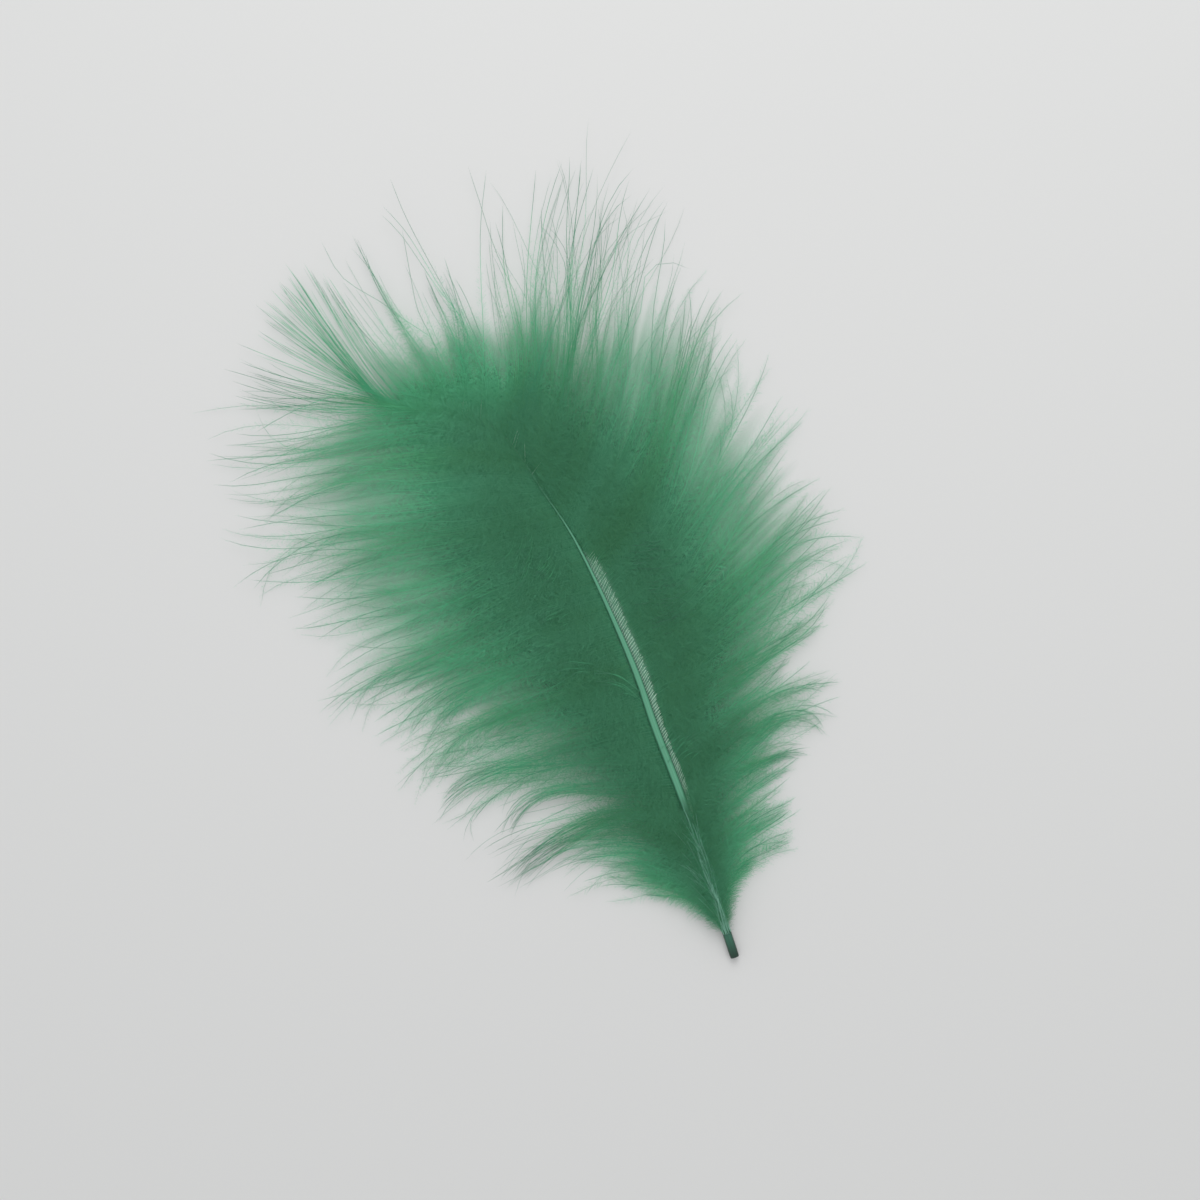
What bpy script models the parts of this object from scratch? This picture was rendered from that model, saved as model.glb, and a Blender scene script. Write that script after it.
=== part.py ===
"""Marabou feather lying flat: one closed body, the shaft with its locks of down grown from it.

Lengths are millimetres. The feather is drawn on a sheet seen from above, X to the right and Y up,
with the cut end of the quill at (0, 0). It is then turned so that the line from the cut end to the
tip runs along +Y, and moved so that the middle of its box is over the origin.
"""

import math

import bmesh
import bpy
from mathutils import Matrix, Vector
from mathutils.geometry import interpolate_bezier

MM = 0.001

# Driving dimensions of the shaft.
QUILL_DIAMETER = 1.5
SHAFT_END_DIAMETER = 0.3
SHAFT_SOLID_LENGTH = 121.0
BARE_QUILL_LENGTH = 4.5
SHAFT_LIFT = 1.3
SHAFT_BEDDING = 0.85
SHAFT_SIDES = 8
SHAFT_STEP = 4.0

# Driving dimensions of the locks.
LOCK_WIDTH_PER_LENGTH = 0.165
LOCK_WIDEST = 8.4
LOCK_NARROWEST = 3.2
LOCK_HEIGHT_PER_WIDTH = 0.68
LOCK_HEIGHT_LOST_AT_TIP = 0.35
LOCK_ROOT_WIDTH = 2.2
LOCK_TIP_WIDTH = 0.6
LOCK_SECTIONS = 7
LOCK_FULLNESS = (1.1, 0.84, 1.0, 0.9, 1.16, 0.8)
BELOW_GROUND = 0.5

# The first handle of a lock's curve, at the shaft, and its second, at the tip, by the lock's length.
ROOT_HANDLE = 0.3
TIP_HANDLE = 0.36

# Where the sheet's drawing goes in the part's own frame.
SHEET_TURN = math.radians(-33.2)

# The middle line of the shaft, from the cut end of the quill to the last threads at the tip.
SHAFT_LINE = [
    (0.0, 0.0),
    (-2.7, 8.2),
    (-5.4, 16.6),
    (-8.4, 25.4),
    (-12.5, 36.0),
    (-15.6, 44.9),
    (-19.1, 53.2),
    (-22.8, 61.1),
    (-26.2, 67.5),
    (-30.5, 73.8),
    (-34.4, 79.9),
    (-37.3, 83.0),
    (-40.4, 84.8),
    (-45.8, 85.6),
    (-51.4, 86.0),
    (-55.3, 86.8),
    (-58.0, 89.0),
    (-60.8, 92.4),
    (-64.0, 96.5),
    (-67.9, 101.1),
    (-71.9, 105.7),
]

# Each lock: how far along the shaft it leaves, where on the sheet its tip lies, and the way it points
# there, in degrees from X towards Y.
RIGHT_LOCKS = [
    (5.5, (3.5, 15.3), 0),
    (8.0, (9.0, 18.3), 15),
    (10.5, (8.7, 23.4), 35),
    (13.5, (9.6, 25.3), 35),
    (16.5, (8.4, 28.3), 40),
    (19.5, (11.9, 33.0), 20),
    (22.5, (10.1, 38.7), 40),
    (25.5, (15.8, 37.9), -40),
    (28.5, (16.7, 43.6), 0),
    (32.0, (8.4, 48.0), 65),
    (35.5, (12.6, 50.9), 20),
    (39.0, (14.9, 57.5), 55),
    (42.5, (14.7, 60.8), 65),
    (46.0, (18.2, 65.7), 18),
    (49.0, (20.1, 66.4), -10),
    (52.0, (17.2, 70.6), 15),
    (55.0, (15.0, 74.1), 50),
    (58.0, (13.3, 75.8), 28),
    (61.5, (8.2, 79.9), 60),
    (65.0, (10.6, 84.8), 38),
    (68.5, (7.0, 88.5), 55),
    (72.0, (5.1, 95.3), 72),
    (75.0, (0.5, 97.2), 60),
    (77.5, (1.3, 104.8), 40),
    (80.5, (-2.7, 105.2), 60),
    (84.0, (-7.1, 108.5), 20),
    (87.5, (-11.2, 116.6), 92),
    (90.0, (-13.7, 121.5), 55),
    (92.0, (-15.8, 124.3), 45),
    (94.0, (-22.4, 124.7), 75),
    (96.0, (-26.1, 126.4), 102),
    (98.0, (-31.6, 124.5), 88),
    (99.5, (-39.2, 124.3), 90),
    (101.0, (-42.2, 125.0), 108),
    (102.5, (-54.4, 122.9), 110),
    (104.5, (-55.7, 118.0), 145),
    (107.0, (-61.6, 116.4), 114),
    (109.5, (-65.3, 113.1), 120),
    (112.0, (-67.9, 109.7), 114),
    (115.0, (-70.9, 109.3), 126),
]
LEFT_LOCKS = [
    (5.5, (-15.0, 10.1), 175),
    (7.5, (-22.8, 11.5), 192),
    (9.5, (-29.1, 13.4), 207),
    (12.0, (-39.5, 12.0), 215),
    (15.0, (-36.8, 19.1), 250),
    (18.5, (-46.6, 21.3), 240),
    (22.0, (-50.1, 28.1), 200),
    (25.5, (-52.8, 26.1), 236),
    (29.0, (-49.3, 32.9), 235),
    (32.5, (-56.9, 34.6), 204),
    (36.0, (-56.7, 37.3), 218),
    (39.0, (-63.7, 37.6), 226),
    (42.0, (-65.3, 38.4), 217),
    (45.0, (-64.3, 42.0), 209),
    (48.0, (-61.1, 49.3), 172),
    (51.0, (-69.7, 51.8), 178),
    (54.0, (-66.0, 54.5), 196),
    (57.0, (-69.4, 57.2), 178),
    (60.0, (-78.8, 58.3), 212),
    (63.0, (-76.5, 59.9), 180),
    (66.0, (-80.9, 66.4), 161),
    (69.0, (-77.9, 67.2), 187),
    (72.0, (-78.7, 69.5), 162),
    (75.0, (-79.5, 74.6), 200),
    (78.0, (-82.3, 74.7), 170),
    (81.0, (-83.3, 78.1), 188),
    (84.0, (-83.1, 79.9), 165),
    (87.5, (-78.8, 82.8), 172),
    (91.0, (-78.2, 87.0), 165),
    (94.5, (-79.5, 89.0), 168),
    (98.0, (-80.7, 92.7), 163),
    (101.5, (-77.9, 93.9), 160),
    (105.0, (-78.7, 97.0), 156),
    (108.0, (-75.4, 98.9), 143),
    (111.0, (-75.7, 102.9), 141),
    (114.0, (-73.3, 105.5), 138),
    (117.0, (-71.6, 106.6), 132),
]

# The angle between the shaft and a lock where it leaves, by distance along the shaft.
RIGHT_LEAVE = [(5.0, 2.0), (15.0, 8.0), (28.0, 26.0), (42.0, 52.0), (60.0, 58.0), (90.0, 48.0), (121.0, 10.0)]
LEFT_LEAVE = [(5.0, 34.0), (15.0, 24.0), (30.0, 34.0), (45.0, 46.0), (60.0, 52.0), (90.0, 46.0), (121.0, 10.0)]

# How wide the locks are, by distance along the shaft: the down grows thin towards the tip.
WIDTH_ALONG_SHAFT = [(0.0, 1.0), (95.0, 1.0), (121.0, 0.5)]

DOWN_GREEN = (0.048, 0.216, 0.112, 1.0)
DOWN_ROUGHNESS = 0.9


def clear_scene():
    for obj in list(bpy.data.objects):
        bpy.data.objects.remove(obj)


def between(pairs, at):
    """The value at this place on a line of straight stretches."""
    if at <= pairs[0][0]:
        return pairs[0][1]
    for (start, low), (end, high) in zip(pairs, pairs[1:]):
        if at <= end:
            return low + (high - low) * (at - start) / (end - start)
    return pairs[-1][1]


def smooth_line(points, parts=8):
    """A smooth curve through the points, as a list of closely set ones."""
    points = [Vector(point) for point in points]
    ends = [2 * points[0] - points[1]] + points + [2 * points[-1] - points[-2]]
    line = []
    for before, start, end, after in zip(ends, ends[1:], ends[2:], ends[3:]):
        for part in range(parts):
            t = part / parts
            line.append(
                0.5
                * (
                    2 * start
                    + (end - before) * t
                    + (2 * before - 5 * start + 4 * end - after) * t**2
                    + (3 * start - before - 3 * end + after) * t**3
                )
            )
    return line + [points[-1]]


class Shaft:
    """The middle line of the shaft, read by the distance along it."""

    def __init__(self):
        self.line = smooth_line(SHAFT_LINE)
        self.distances = [0.0]
        for start, end in zip(self.line, self.line[1:]):
            self.distances.append(self.distances[-1] + (end - start).length)

    def at(self, distance):
        """The point at this distance and the way the shaft runs there."""
        for index in range(len(self.line) - 1):
            if distance <= self.distances[index + 1] or index == len(self.line) - 2:
                break
        start, end = self.line[index], self.line[index + 1]
        gap = self.distances[index + 1] - self.distances[index]
        return start.lerp(end, (distance - self.distances[index]) / gap), (end - start).normalized()

    def radius(self, distance):
        along = distance / SHAFT_SOLID_LENGTH
        return 0.5 * (QUILL_DIAMETER + (SHAFT_END_DIAMETER - QUILL_DIAMETER) * along)

    def height(self, distance):
        """Of the middle line: the shaft bows up from the surface between its two ends."""
        along = min(distance / SHAFT_SOLID_LENGTH, 1.0)
        return SHAFT_BEDDING * self.radius(distance) + SHAFT_LIFT * math.sin(math.pi * along)


def turned(direction, angle):
    return Matrix.Rotation(angle, 2) @ direction


def heading(degrees):
    angle = math.radians(degrees)
    return Vector((math.cos(angle), math.sin(angle)))


def in_part_frame(point, height):
    """A point of the sheet, in metres and turned into the part's frame."""
    flat = turned(point, SHEET_TURN) * MM
    return Vector((flat.x, flat.y, height * MM))


def lofted_mesh(name, rings):
    """A closed mesh with its skin drawn over rings that have the same number of points."""
    work = bmesh.new()
    loops = [[work.verts.new(point) for point in ring] for ring in rings]
    for lower, upper in zip(loops, loops[1:]):
        for index in range(len(lower)):
            after = (index + 1) % len(lower)
            work.faces.new((lower[index], lower[after], upper[after], upper[index]))
    work.faces.new(loops[0])
    work.faces.new(loops[-1])
    bmesh.ops.triangulate(work, faces=work.faces[:])
    bmesh.ops.recalc_face_normals(work, faces=work.faces[:])
    mesh = bpy.data.meshes.new(name)
    work.to_mesh(mesh)
    work.free()
    return mesh


def shaft_mesh(shaft):
    """The tapering shaft: round at the bare quill, then an arch filled with down to the surface."""
    rings = []
    count = round(SHAFT_SOLID_LENGTH / SHAFT_STEP)
    for index in range(count + 1):
        distance = SHAFT_SOLID_LENGTH * index / count
        middle, along = shaft.at(distance)
        across = turned(along, math.radians(-90))
        ring = []
        for side in range(SHAFT_SIDES):
            angle = 2 * math.pi * (side + 0.5) / SHAFT_SIDES
            out = across * math.cos(angle) * shaft.radius(distance)
            height = shaft.height(distance) + math.sin(angle) * shaft.radius(distance)
            if distance > BARE_QUILL_LENGTH and math.sin(angle) < 0:
                height = -BELOW_GROUND
            ring.append(in_part_frame(middle + out, height))
        rings.append(ring)
    return lofted_mesh("shaft", rings)


def lock_path(shaft, root, tip, points_to, side, leave_angles):
    """The middle line of one lock on the sheet, from inside the shaft to the tip."""
    start, along = shaft.at(root)
    end = Vector(tip)
    length = (end - start).length
    leave = turned(along, side * math.radians(between(leave_angles, root)))
    first = start + leave * ROOT_HANDLE * length
    second = end - heading(points_to) * TIP_HANDLE * length
    points = [point.to_3d() for point in (start, first, second, end)]
    return [point.to_2d() for point in interpolate_bezier(*points, LOCK_SECTIONS)]


def lock_mesh(path, width_factor, fullness):
    """One lock: a ridge of down, flat below, widest near its middle and narrow at its tip."""
    length = sum((end - start).length for start, end in zip(path, path[1:]))
    widest = min(max(LOCK_WIDTH_PER_LENGTH * length, LOCK_NARROWEST), LOCK_WIDEST) * width_factor
    rings = []
    for index, middle in enumerate(path):
        after = path[min(index + 1, len(path) - 1)]
        before = path[max(index - 1, 0)]
        across = turned((after - before).normalized(), math.radians(-90))
        t = index / (len(path) - 1)
        swell = math.sin(math.pi * t**0.8) ** 0.7 if 0 < t < 1 else 0.0
        slender = LOCK_ROOT_WIDTH + (LOCK_TIP_WIDTH - LOCK_ROOT_WIDTH) * t
        width = slender + (widest - slender) * swell
        ridge = width * LOCK_HEIGHT_PER_WIDTH * fullness * (1 - LOCK_HEIGHT_LOST_AT_TIP * t)
        rings.append(
            [
                in_part_frame(middle - across * width / 2, -BELOW_GROUND),
                in_part_frame(middle + across * width / 2, -BELOW_GROUND),
                in_part_frame(middle, ridge),
            ]
        )
    return lofted_mesh("lock", rings)


def down_material():
    material = bpy.data.materials.new("green_down")
    material.use_nodes = True
    shader = material.node_tree.nodes["Principled BSDF"]
    shader.inputs["Base Color"].default_value = DOWN_GREEN
    shader.inputs["Roughness"].default_value = DOWN_ROUGHNESS
    shader.inputs["Metallic"].default_value = 0.0
    return material


def make_guide(name, mesh, collection):
    """An object that only shapes another one."""
    obj = bpy.data.objects.new(name, mesh)
    obj.hide_render = True
    obj.display_type = "WIRE"
    collection.objects.link(obj)
    return obj


def make_locks(shaft):
    collection = bpy.data.collections.new("locks")
    bpy.context.scene.collection.children.link(collection)
    sides = (("right", -1, RIGHT_LOCKS, RIGHT_LEAVE), ("left", 1, LEFT_LOCKS, LEFT_LEAVE))
    for name, side, locks, leave_angles in sides:
        for index, (root, tip, points_to) in enumerate(locks):
            path = lock_path(shaft, root, tip, points_to, side, leave_angles)
            fullness = LOCK_FULLNESS[index % len(LOCK_FULLNESS)]
            mesh = lock_mesh(path, between(WIDTH_ALONG_SHAFT, root), fullness)
            make_guide(f"lock_{name}_{index + 1}", mesh, collection)
    return collection


def make_ground():
    """A block whose top is the surface: it cuts the underside flat."""
    side, depth = 400 * MM, 10 * MM
    bpy.ops.mesh.primitive_cube_add(size=1, location=(0, 0, -depth / 2), scale=(side, side, depth))
    block = bpy.context.object
    block.name = "ground_cutter"
    bpy.ops.object.transform_apply(location=True, rotation=True, scale=True)
    block.hide_render = True
    block.display_type = "WIRE"
    return block


def centre_over_origin(feather, collection):
    """Moves the drawing so that the middle of the finished body's box is over the origin."""
    bpy.context.view_layer.update()
    body = feather.evaluated_get(bpy.context.evaluated_depsgraph_get())
    corners = [Vector(corner) for corner in body.bound_box]
    middle = (corners[0] + corners[6]) / 2
    shift = Matrix.Translation((-middle.x, -middle.y, 0.0))
    for obj in [feather, *collection.objects]:
        obj.data.transform(shift)


def make_feather():
    shaft = Shaft()
    feather = bpy.data.objects.new("marabou_feather", shaft_mesh(shaft))
    bpy.context.scene.collection.objects.link(feather)
    feather.data.materials.append(down_material())
    locks = make_locks(shaft)
    fuse = feather.modifiers.new("fuse_locks", "BOOLEAN")
    fuse.operation = "UNION"
    fuse.operand_type = "COLLECTION"
    fuse.collection = locks
    lay = feather.modifiers.new("lay_flat", "BOOLEAN")
    lay.operation = "DIFFERENCE"
    lay.object = make_ground()
    centre_over_origin(feather, locks)


clear_scene()
make_feather()
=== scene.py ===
"""The marabou feather's looks: the quill and shaft, and the down with each barb and barbule as mesh.

The feather is drawn on a sheet seen from above, in millimetres: X to the right, Y up, and the cut end
of the quill at (0, 0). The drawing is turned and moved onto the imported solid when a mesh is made.
"""

import math

import bmesh
import bpy
import numpy as np
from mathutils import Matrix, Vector


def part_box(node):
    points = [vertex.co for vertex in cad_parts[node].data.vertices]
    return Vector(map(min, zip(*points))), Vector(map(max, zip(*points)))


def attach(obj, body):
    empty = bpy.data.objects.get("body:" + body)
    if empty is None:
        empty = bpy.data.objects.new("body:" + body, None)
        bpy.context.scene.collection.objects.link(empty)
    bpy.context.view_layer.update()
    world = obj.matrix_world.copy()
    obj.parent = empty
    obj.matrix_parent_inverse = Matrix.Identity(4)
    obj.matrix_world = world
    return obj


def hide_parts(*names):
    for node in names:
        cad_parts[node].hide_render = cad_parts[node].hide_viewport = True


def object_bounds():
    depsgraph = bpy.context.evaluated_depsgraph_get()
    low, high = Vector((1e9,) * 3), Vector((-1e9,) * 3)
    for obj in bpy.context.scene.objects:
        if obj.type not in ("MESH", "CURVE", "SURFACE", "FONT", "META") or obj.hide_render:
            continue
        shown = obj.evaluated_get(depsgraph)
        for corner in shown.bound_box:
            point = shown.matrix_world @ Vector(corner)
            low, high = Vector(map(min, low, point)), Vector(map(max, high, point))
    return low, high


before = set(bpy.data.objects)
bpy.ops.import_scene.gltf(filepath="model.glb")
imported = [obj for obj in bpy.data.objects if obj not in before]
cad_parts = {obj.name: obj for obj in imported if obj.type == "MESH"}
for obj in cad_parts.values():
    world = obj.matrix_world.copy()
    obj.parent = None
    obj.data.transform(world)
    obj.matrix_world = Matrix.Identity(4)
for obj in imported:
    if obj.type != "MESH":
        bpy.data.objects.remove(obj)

bl_info = {
    "name": "Marabou Feather",
    "version": (1, 0, 0),
    "blender": (4, 5, 0),
    "location": "3D View > Sidebar > Feather",
    "description": "Builds a dyed marabou feather with its barbs and barbules",
    "category": "Object",
}

MM = 0.001
NODE = "marabou_feather"
BODY = "root"
CAD_BOX = [list(corner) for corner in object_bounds()]

# The map that holds, for each face of the feather, how far along its barb it lies and its tone.
TONE_MAP = "OFBake"

# How the sheet's drawing is turned in the part's frame.
SHEET_TURN = math.radians(-33.2)

# The middle line of the shaft, from the cut end of the quill to the last threads at the tip.
SHAFT_LINE = [
    (0, 0), (-2.7, 8.2), (-5.4, 16.6), (-8.4, 25.4), (-12.5, 36), (-15.6, 44.9), (-19.1, 53.2),
    (-22.8, 61.1), (-26.2, 67.5), (-30.5, 73.8), (-34.4, 79.9), (-37.3, 83), (-40.4, 84.8), (-45.8, 85.6),
    (-51.4, 86), (-55.3, 86.8), (-58, 89), (-60.8, 92.4), (-64, 96.5), (-67.9, 101.1), (-71.9, 105.7),
]

# How wide the shaft is beside the bare quill's width, by the distance along it.
SHAFT_WIDTHS = [
    (0, 1), (3, 0.97), (26, 0.92), (40, 0.87), (50, 0.7), (60, 0.46), (66, 0.35), (73, 0.24), (83, 0.15),
    (95, 0.1), (124, 0.05),
]

# The longest threads: how far along the shaft each leaves, where on the sheet its tip lies, and the
# way it points there, in degrees from X towards Y.
RIGHT_THREADS = [
    (5.5, (3.5, 15.3), 0), (7, (9, 18.3), 15), (9, (8.7, 23.4), 35), (11, (9.6, 25.3), 35),
    (13, (8.4, 28.3), 40), (15, (10.4, 31.8), 40), (18, (11.8, 33), 5), (24, (10.1, 38.7), 40),
    (27.5, (15.8, 37.9), -40), (32, (16.7, 43.6), 0), (35, (8.4, 48), 65), (38, (12.6, 50.9), 20),
    (42, (14.9, 57.5), 55), (44.5, (14.7, 60.8), 65), (46.5, (18.2, 65.7), 18), (48, (20.1, 66.4), -10),
    (49.5, (16.4, 69.2), 15), (50.5, (17.2, 70.6), 15), (52, (15, 74.1), 50), (53, (13.3, 75.8), 28),
    (54.5, (8.2, 79.9), 60), (56, (10.6, 84.8), 38), (58, (7, 88.5), 55), (60, (5.1, 95.3), 72),
    (61.5, (0.5, 97.2), 60), (62.5, (-0.3, 98.4), 60), (64, (1.3, 104.8), 40), (65, (-1.6, 105.2), 50),
    (66, (-3.8, 105.2), 68), (68, (-7.7, 106), 95), (70, (-9.3, 106.3), 70), (71.5, (-11.2, 116.6), 92),
    (73, (-10.7, 119.4), 65), (74, (-11.8, 118), 65), (75.5, (-13.7, 121.5), 55),
    (77.5, (-16.4, 122.6), 70), (78.5, (-15.8, 124.3), 45), (81, (-22.1, 119.1), 85),
    (82.5, (-22.4, 124.7), 75), (84, (-24.2, 125.9), 88), (85.5, (-26.1, 126.4), 94),
    (87, (-27.5, 125.6), 65), (89, (-31.6, 124.5), 84), (91, (-36.6, 119), 92), (94.5, (-46, 110.5), 104),
    (96.5, (-49, 108.5), 112), (99.5, (-60.1, 113.3), 114), (102.5, (-64.1, 106.2), 120),
    (104, (-64.3, 107.5), 124), (105.5, (-67, 108.6), 118), (106.5, (-68, 109.6), 120),
    (107.5, (-70, 108.4), 122), (108.3, (-71, 109.6), 126), (109, (-70.5, 107.2), 126),
    (109.6, (-71.9, 106.4), 128),
]
LEFT_THREADS = [
    (5.5, (-15, 10.1), 175), (7, (-21.3, 11.2), 190), (8.5, (-24, 12), 195), (11, (-29.1, 13.4), 207),
    (13, (-31.1, 13.4), 233), (18, (-37.1, 13.4), 218), (23, (-39.5, 11.8), 215),
    (29, (-36.8, 19.1), 255), (38, (-46.6, 21.3), 243), (44.5, (-50.1, 28.1), 200),
    (46.5, (-52.8, 26.1), 236), (50.5, (-49.3, 32.9), 248), (54, (-53.6, 34.9), 236),
    (56.5, (-56.9, 34.6), 204), (58.5, (-56.7, 37.3), 218), (60.5, (-59.6, 39), 213),
    (62, (-63.7, 37.6), 226), (63.5, (-65.3, 38.4), 217), (65, (-64.3, 42), 209),
    (67, (-61.1, 49.3), 172), (68, (-57.8, 49.8), 200), (69.5, (-69.7, 51.8), 178),
    (71, (-66, 54.5), 196), (72, (-69.4, 57.2), 178), (73, (-78.8, 58.3), 214), (74, (-76, 58), 230),
    (75, (-76.5, 59.9), 178), (76, (-74.3, 60), 192), (78, (-80.9, 66.4), 161),
    (79.5, (-77.9, 67.2), 187), (80.5, (-78.7, 69.5), 160), (81.5, (-74.9, 69), 204),
    (83.5, (-79.5, 74.6), 205), (84.5, (-82.3, 74.7), 170), (86.5, (-83.3, 78.1), 188),
    (88, (-83.1, 79.9), 163), (89.5, (-80.4, 80.9), 186), (91, (-78.8, 82.8), 170),
    (93, (-78.4, 86.4), 178), (94.5, (-78.1, 88.5), 164), (96, (-79.1, 88.8), 164),
    (97.5, (-79.3, 91), 163), (99.5, (-80.8, 92.8), 164), (101.5, (-78.1, 94), 160),
    (103.2, (-78.6, 96.9), 158), (105, (-75.4, 99), 145), (106.2, (-74.4, 100.6), 143),
    (107.2, (-75.7, 103), 141), (108.2, (-74.4, 103.7), 139), (109, (-73.3, 105.5), 134),
    (109.8, (-71.9, 106.7), 130),
]

# Single threads that cross the others: how far along the shaft each leaves, and the places it passes.
CROSSING_THREADS = [
    (83, [(-20.5, 92), (-15.2, 101), (-14.5, 105.7), (-13.9, 107.8), (-11.1, 109.7), (-7.1, 108.5)]),
    (85, [(-33.8, 101.1), (-35.6, 106.3), (-38.1, 112.3), (-40, 118.3), (-42.2, 125)]),
    (95, [(-39.6, 96), (-40, 106.3), (-40.1, 115.2), (-39.2, 124.3)]),
    (97, [(-43.3, 95.7), (-43.9, 101.4), (-45, 103.8), (-51.4, 115.7), (-54.4, 122.9)]),
    (97.5, [(-42.6, 96.5), (-43.4, 101), (-46.2, 105.2), (-51.6, 114), (-55.6, 118.5)]),
    (98, [(-42, 96.2), (-43, 100.6), (-46.8, 105.4), (-52.4, 113.6), (-55.8, 117.1)]),
    (100, [(-47, 95.5), (-49.8, 101.6), (-50.6, 104.6), (-52.5, 114.9)]),
    (97, [(-47.6, 97.2), (-51, 99.7), (-55.6, 103.2), (-59.9, 105.7), (-62.7, 108.2), (-65.3, 113.1)]),
    (88, [(-30, 96), (-26.5, 106), (-28, 112), (-30.8, 115.5)]),
    (88.5, [(-29.4, 97), (-26, 106.6), (-27.2, 112.4), (-29.9, 115.7)]),
]

# Small tufts on top of the down: where each starts, its heading and how much that turns, its length,
# how far it spreads, how many barbs it has and their tone.
TUFTS = [
    ((-32.6, 65.3), 262, -25, 6.6, 1.2, 16, 0.42),
    ((-29.1, 62.6), 245, -10, 5, 0.9, 14, 0.42),
    ((-27, 54.2), 200, 10, 4.5, 0.8, 16, 0.45),
    ((-27.2, 50), 190, 30, 5, 0.9, 10, 0.4),
    ((-22.4, 45.7), 172, 20, 6.5, 0.4, 6, 0.5),
    ((-15.4, 41.2), 150, 25, 8.5, 0.4, 6, 0.5),
    ((-34, 38), 200, 20, 6, 1.6, 16, 0.42),
    ((-40, 58), 205, 15, 6, 2, 18, 0.42),
    ((-14.8, 63), 2, 8, 4, 1.6, 24, -0.2),
    ((-12.8, 58), 8, 12, 4, 1.6, 28, -0.2),
    ((-11.8, 53.5), 16, 10, 4, 1.4, 20, -0.2),
    ((-9, 33), 48, -16, 6, 1.2, 12, 0.5),
]

# The angle between the shaft and a barb where it leaves, by the distance along the shaft.
RIGHT_LEAVE = [
    (5, 4), (15, 8), (20, 16), (25, 40), (30, 72), (38, 90), (54, 94), (64, 84), (70, 74), (76, 56),
    (82, 60), (90, 74), (96, 84), (99.5, 64), (102.5, 42), (105, 34), (110, 28),
]
LEFT_LEAVE = [
    (5, 28), (14, 42), (22, 56), (29, 72), (36, 84), (48, 88), (60, 86), (74, 80), (79, 62), (82, 48),
    (85, 32), (88, 20), (92, 10), (97, 0), (102, -6), (105, -18), (110, -28),
]

# How far back along the shaft a barb is hooked at its root, in millimetres, by the distance along it.
HOOK_RIGHT = [(24, 0), (30, 1.4), (62, 1.4), (71, 0.3), (76, 0)]
NO_HOOK = [(0, 0)]

# How far out from the shaft a hooked barb runs straight, in millimetres.
HOOK_REACH = 2.0

# How much of a barb carries barbules of full length, by the distance along the shaft.
FLUFFY_RIGHT = [
    (0, 0.95), (10, 0.9), (18, 0.7), (36, 0.8), (46, 1), (58, 0.92), (68, 0.68), (74, 0.5), (80, 0.36),
    (88, 0.45), (93, 0.5), (101, 0.44), (105, 0.1), (110, 0.06),
]
FLUFFY_LEFT = [
    (0, 0.95), (10, 0.7), (16, 0.36), (24, 0.42), (32, 0.55), (40, 0.7), (48, 0.95), (66, 0.8),
    (80, 0.74), (90, 0.62), (97, 0.3), (104, 0.12), (110, 0.06),
]

# How closely the barbs stand on the shaft, beside the middle of the feather.
BARB_SPACING = [(4, 1.9), (14, 1.5), (26, 1), (86, 1), (91, 0.8), (101, 0.7), (104, 1.3), (110, 2.6)]

# How long the bare root of a barb is, in millimetres, by the distance along the shaft.
BARE_RIGHT = [(4, 2), (12, 1), (20, 0.6), (28, 1.3), (57, 1.3), (65, 0.8), (70, 0.1), (73, 0)]
BARE_LEFT = [(4, 2), (12, 1), (20, 0.3), (30, 0.36), (54, 0.36), (64, 0)]

# How much of the shaft's width the roots of the barbs cover, by the distance along the shaft.
ROOTS_OVER_SHAFT = [(4, 1), (18, 1), (25, 0), (72, 0), (80, 0.9), (124, 0.9)]

# How close the lowest barbs keep to the shaft at first, by the distance along the shaft.
HUG_SHAFT = [(4, 1), (18, 1), (25, 0)]

# How high the down stands, as a share of its full height, by the distance along the shaft.
LOFT_ALONG_SHAFT = [(0, 0.25), (15, 0.6), (35, 1), (85, 1), (100, 0.55), (130, 0.25)]

# How far along the barbs the undercoat reaches and the barbules crowd, by the distance along the shaft.
DENSE_RIGHT = [
    (4, 0.75), (16, 0.66), (24, 0.6), (32, 0.74), (40, 0.7), (48, 1), (56, 0.94), (68, 0.96), (74, 0.8),
    (80, 0.5), (86, 0.6), (92, 0.66), (98, 0.6), (103, 0.56), (110, 0.3),
]
DENSE_LEFT = [
    (4, 0.85), (12, 0.6), (16, 0.4), (24, 0.42), (32, 0.55), (40, 0.6), (48, 0.86), (56, 0.84),
    (68, 1.05), (74, 0.9), (80, 0.88), (86, 0.9), (92, 0.66), (97, 0.5), (104, 0.4), (110, 0.3),
]

# How much of the painted shade at the roots is left out where the down is thin, by the distance along the
# shaft.
LESS_ROOT_SHADE = [(0, 0.4), (8, 0.25), (13, 0), (74, 0), (88, 0.26), (98, 0.5), (110, 0.6)]

# How thick a barb is beside its root, by the place along it, and how thick at least if its root is open.
BARB_TAPER = [(0, 1), (1, 0.7)]
OPEN_ROOT_THICKNESS = [(0, 1), (0.08, 1), (0.12, 0), (1, 0)]

# How many barbules a barb carries beside the most, by the place along it.
BARBULE_CROWD = [(0, 0.4), (0.12, 0.7), (0.22, 1), (0.34, 0.62), (0.48, 0.34), (0.65, 0.28), (1, 0.36)]

# How unruly the barbs are, by the distance along the shaft: those at the tip stand in a tidy fan.
UNRULY = [(0, 1), (52, 1), (62, 1.3), (90, 1.3), (94, 0.8), (100, 0.4), (104, 0.16), (110, 0.1)]

# What share of the barbs gather in locks, by the distance along the shaft.
GATHERED = [(0, 0.45), (30, 0.62), (92, 0.62), (99, 0.3), (104, 0.1)]

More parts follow.
